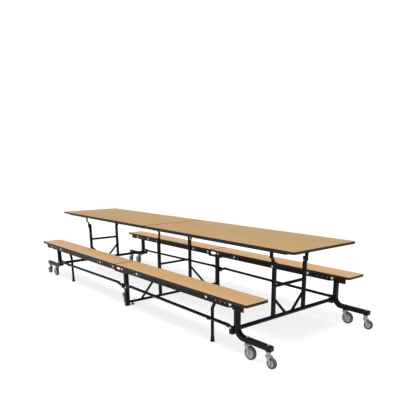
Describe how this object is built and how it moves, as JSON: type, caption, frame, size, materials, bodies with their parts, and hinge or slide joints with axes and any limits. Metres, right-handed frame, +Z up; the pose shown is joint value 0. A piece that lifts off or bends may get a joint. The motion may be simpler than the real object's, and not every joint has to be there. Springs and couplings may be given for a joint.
{
  "type": "folding cafeteria table with benches",
  "caption": "Mobile cafeteria table in two folding halves with attached benches, a lifting centre frame and caster end frames.",
  "frame": {"origin": "on the floor below the middle of the open table", "axes": "+X along the table, +Y across it towards the far bench, +Z up"},
  "size_m": [3.794, 1.354, 0.737],
  "materials": {
    "laminate": "tan wood-grain laminate with a satin surface",
    "edge_band": "black plastic edge band",
    "black_steel": "black powder coat, semi-gloss",
    "zinc": "bright zinc plate",
    "black_rubber": "black moulded rubber",
    "black_plastic": "black moulded plastic",
    "grey_tyre": "grey non-marking tread on a lighter hub"
  },
  "bodies": {
    "end_frame_right": {"end_truss_right": "black_steel", "legs_right": "black_steel", "end_hardware_right": "zinc", "arm_caps_right": "black_plastic"},
    "end_frame_left": {"end_truss_left": "black_steel", "legs_left": "black_steel", "end_hardware_left": "zinc", "arm_caps_left": "black_plastic"},
    "table_right": {"table_top_right": "laminate", "table_edge_right": "edge_band", "table_rails_right": "black_steel", "table_brackets_right": "black_steel"},
    "bench_near_right": {"seat_near_right": "laminate", "seat_edge_near_right": "edge_band", "channels_near_right": "black_steel", "bolts_near_right": "zinc"},
    "stretcher_near_right_link": {"stretcher_near_right": "black_steel"},
    "bench_far_right": {"seat_far_right": "laminate", "seat_edge_far_right": "edge_band", "channels_far_right": "black_steel", "bolts_far_right": "zinc"},
    "stretcher_far_right_link": {"stretcher_far_right": "black_steel"},
    "prop_right": {"prop_leg_right": "black_steel", "prop_foot_right": "black_rubber"},
    "swivel_inner_near_right": {"fork_inner_near_right": "zinc"},
    "roller_inner_near_right": {"wheel_inner_near_right": "grey_tyre"},
    "swivel_inner_far_right": {"fork_inner_far_right": "zinc"},
    "roller_inner_far_right": {"wheel_inner_far_right": "grey_tyre"},
    "swivel_outer_near_right": {"fork_outer_near_right": "zinc"},
    "roller_outer_near_right": {"wheel_outer_near_right": "grey_tyre"},
    "swivel_outer_far_right": {"fork_outer_far_right": "zinc"},
    "roller_outer_far_right": {"wheel_outer_far_right": "grey_tyre"},
    "table_left": {"table_top_left": "laminate", "table_edge_left": "edge_band", "table_rails_left": "black_steel", "table_brackets_left": "black_steel"},
    "bench_near_left": {"seat_near_left": "laminate", "seat_edge_near_left": "edge_band", "channels_near_left": "black_steel", "bolts_near_left": "zinc"},
    "stretcher_near_left_link": {"stretcher_near_left": "black_steel"},
    "bench_far_left": {"seat_far_left": "laminate", "seat_edge_far_left": "edge_band", "channels_far_left": "black_steel", "bolts_far_left": "zinc"},
    "stretcher_far_left_link": {"stretcher_far_left": "black_steel"},
    "prop_left": {"prop_leg_left": "black_steel", "prop_foot_left": "black_rubber"},
    "swivel_inner_near_left": {"fork_inner_near_left": "zinc"},
    "roller_inner_near_left": {"wheel_inner_near_left": "grey_tyre"},
    "swivel_inner_far_left": {"fork_inner_far_left": "zinc"},
    "roller_inner_far_left": {"wheel_inner_far_left": "grey_tyre"},
    "swivel_outer_near_left": {"fork_outer_near_left": "zinc"},
    "roller_outer_near_left": {"wheel_outer_near_left": "grey_tyre"},
    "swivel_outer_far_left": {"fork_outer_far_left": "zinc"},
    "roller_outer_far_left": {"wheel_outer_far_left": "grey_tyre"},
    "centre_frame": {"centre_truss": "black_steel", "centre_posts": "black_steel", "centre_feet": "black_plastic", "centre_hardware": "zinc"}
  },
  "joints": [
    {"name": "fold", "type": "hinge", "parent": "end_frame_right", "child": "table_right", "pos_m": [1.5, 0, 0.57], "axis": [0, 1, 0], "range_deg": [0, 90]},
    {"name": "bench_near_right_fold", "type": "hinge", "parent": "end_frame_right", "child": "bench_near_right", "pos_m": [1.536, -0.57, 0.38], "axis": [0, 1, 0], "range_deg": [0, 90]},
    {"name": "stretcher_near_right_fold", "type": "hinge", "parent": "end_frame_right", "child": "stretcher_near_right_link", "pos_m": [1.49, -0.58, 0.19], "axis": [0, 1, 0], "range_deg": [0, 90]},
    {"name": "bench_far_right_fold", "type": "hinge", "parent": "end_frame_right", "child": "bench_far_right", "pos_m": [1.536, 0.57, 0.38], "axis": [0, 1, 0], "range_deg": [0, 90]},
    {"name": "stretcher_far_right_fold", "type": "hinge", "parent": "end_frame_right", "child": "stretcher_far_right_link", "pos_m": [1.49, 0.58, 0.19], "axis": [0, 1, 0], "range_deg": [0, 90]},
    {"name": "centre_lift", "type": "hinge", "parent": "table_right", "child": "centre_frame", "pos_m": [0.047, 0, 0.57], "axis": [0, 1, 0], "range_deg": [-90, 0]},
    {"name": "prop_right_fold", "type": "hinge", "parent": "bench_near_right", "child": "prop_right", "pos_m": [1.281, -0.548, 0.38], "axis": [0, 1, 0], "range_deg": [-90, 0]},
    {"name": "table_left_fold", "type": "hinge", "parent": "centre_frame", "child": "table_left", "pos_m": [-0.047, 0, 0.57], "axis": [0, 1, 0], "range_deg": [-90, 0]},
    {"name": "bench_near_left_fold", "type": "hinge", "parent": "centre_frame", "child": "bench_near_left", "pos_m": [-0.083, -0.57, 0.38], "axis": [0, 1, 0], "range_deg": [-90, 0]},
    {"name": "stretcher_near_left_fold", "type": "hinge", "parent": "centre_frame", "child": "stretcher_near_left_link", "pos_m": [-0.037, -0.58, 0.19], "axis": [0, 1, 0], "range_deg": [-90, 0]},
    {"name": "bench_far_left_fold", "type": "hinge", "parent": "centre_frame", "child": "bench_far_left", "pos_m": [-0.083, 0.57, 0.38], "axis": [0, 1, 0], "range_deg": [-90, 0]},
    {"name": "stretcher_far_left_fold", "type": "hinge", "parent": "centre_frame", "child": "stretcher_far_left_link", "pos_m": [-0.037, 0.58, 0.19], "axis": [0, 1, 0], "range_deg": [-90, 0]},
    {"name": "end_left_roll_in", "type": "hinge", "parent": "table_left", "child": "end_frame_left", "pos_m": [-1.5, 0, 0.57], "axis": [0, 1, 0], "range_deg": [0, 90]},
    {"name": "prop_left_fold", "type": "hinge", "parent": "bench_near_left", "child": "prop_left", "pos_m": [-1.281, -0.548, 0.38], "axis": [0, 1, 0], "range_deg": [0, 90]},
    {"name": "swivel_inner_near_right_turn", "type": "hinge", "parent": "end_frame_right", "child": "swivel_inner_near_right", "pos_m": [1.633, -0.57, 0.1], "axis": [0, 0, 1], "continuous": true},
    {"name": "wheel_inner_near_right_roll", "type": "hinge", "parent": "swivel_inner_near_right", "child": "roller_inner_near_right", "pos_m": [1.663, -0.57, 0.0485], "axis": [0, 1, 0], "continuous": true},
    {"name": "swivel_inner_far_right_turn", "type": "hinge", "parent": "end_frame_right", "child": "swivel_inner_far_right", "pos_m": [1.633, 0.57, 0.1], "axis": [0, 0, 1], "continuous": true},
    {"name": "wheel_inner_far_right_roll", "type": "hinge", "parent": "swivel_inner_far_right", "child": "roller_inner_far_right", "pos_m": [1.663, 0.57, 0.0485], "axis": [0, 1, 0], "continuous": true},
    {"name": "swivel_outer_near_right_turn", "type": "hinge", "parent": "end_frame_right", "child": "swivel_outer_near_right", "pos_m": [1.829, -0.57, 0.1], "axis": [0, 0, 1], "continuous": true},
    {"name": "wheel_outer_near_right_roll", "type": "hinge", "parent": "swivel_outer_near_right", "child": "roller_outer_near_right", "pos_m": [1.859, -0.57, 0.038], "axis": [0, 1, 0], "continuous": true},
    {"name": "swivel_outer_far_right_turn", "type": "hinge", "parent": "end_frame_right", "child": "swivel_outer_far_right", "pos_m": [1.829, 0.57, 0.1], "axis": [0, 0, 1], "continuous": true},
    {"name": "wheel_outer_far_right_roll", "type": "hinge", "parent": "swivel_outer_far_right", "child": "roller_outer_far_right", "pos_m": [1.859, 0.57, 0.038], "axis": [0, 1, 0], "continuous": true},
    {"name": "swivel_inner_near_left_turn", "type": "hinge", "parent": "end_frame_left", "child": "swivel_inner_near_left", "pos_m": [-1.633, -0.57, 0.1], "axis": [0, 0, 1], "continuous": true},
    {"name": "wheel_inner_near_left_roll", "type": "hinge", "parent": "swivel_inner_near_left", "child": "roller_inner_near_left", "pos_m": [-1.663, -0.57, 0.0485], "axis": [0, 1, 0], "continuous": true},
    {"name": "swivel_inner_far_left_turn", "type": "hinge", "parent": "end_frame_left", "child": "swivel_inner_far_left", "pos_m": [-1.633, 0.57, 0.1], "axis": [0, 0, 1], "continuous": true},
    {"name": "wheel_inner_far_left_roll", "type": "hinge", "parent": "swivel_inner_far_left", "child": "roller_inner_far_left", "pos_m": [-1.663, 0.57, 0.0485], "axis": [0, 1, 0], "continuous": true},
    {"name": "swivel_outer_near_left_turn", "type": "hinge", "parent": "end_frame_left", "child": "swivel_outer_near_left", "pos_m": [-1.829, -0.57, 0.1], "axis": [0, 0, 1], "continuous": true},
    {"name": "wheel_outer_near_left_roll", "type": "hinge", "parent": "swivel_outer_near_left", "child": "roller_outer_near_left", "pos_m": [-1.859, -0.57, 0.038], "axis": [0, 1, 0], "continuous": true},
    {"name": "swivel_outer_far_left_turn", "type": "hinge", "parent": "end_frame_left", "child": "swivel_outer_far_left", "pos_m": [-1.829, 0.57, 0.1], "axis": [0, 0, 1], "continuous": true},
    {"name": "wheel_outer_far_left_roll", "type": "hinge", "parent": "swivel_outer_far_left", "child": "roller_outer_far_left", "pos_m": [-1.859, 0.57, 0.038], "axis": [0, 1, 0], "continuous": true}
  ],
  "couplings": [
    {"joint": "bench_near_right_fold", "follows": "fold", "ratio": 1},
    {"joint": "stretcher_near_right_fold", "follows": "fold", "ratio": 1},
    {"joint": "bench_far_right_fold", "follows": "fold", "ratio": 1},
    {"joint": "stretcher_far_right_fold", "follows": "fold", "ratio": 1},
    {"joint": "centre_lift", "follows": "fold", "ratio": -1},
    {"joint": "prop_right_fold", "follows": "fold", "ratio": -1},
    {"joint": "table_left_fold", "follows": "fold", "ratio": -1},
    {"joint": "bench_near_left_fold", "follows": "fold", "ratio": -1},
    {"joint": "stretcher_near_left_fold", "follows": "fold", "ratio": -1},
    {"joint": "bench_far_left_fold", "follows": "fold", "ratio": -1},
    {"joint": "stretcher_far_left_fold", "follows": "fold", "ratio": -1},
    {"joint": "end_left_roll_in", "follows": "fold", "ratio": 1},
    {"joint": "prop_left_fold", "follows": "fold", "ratio": 1}
  ]
}
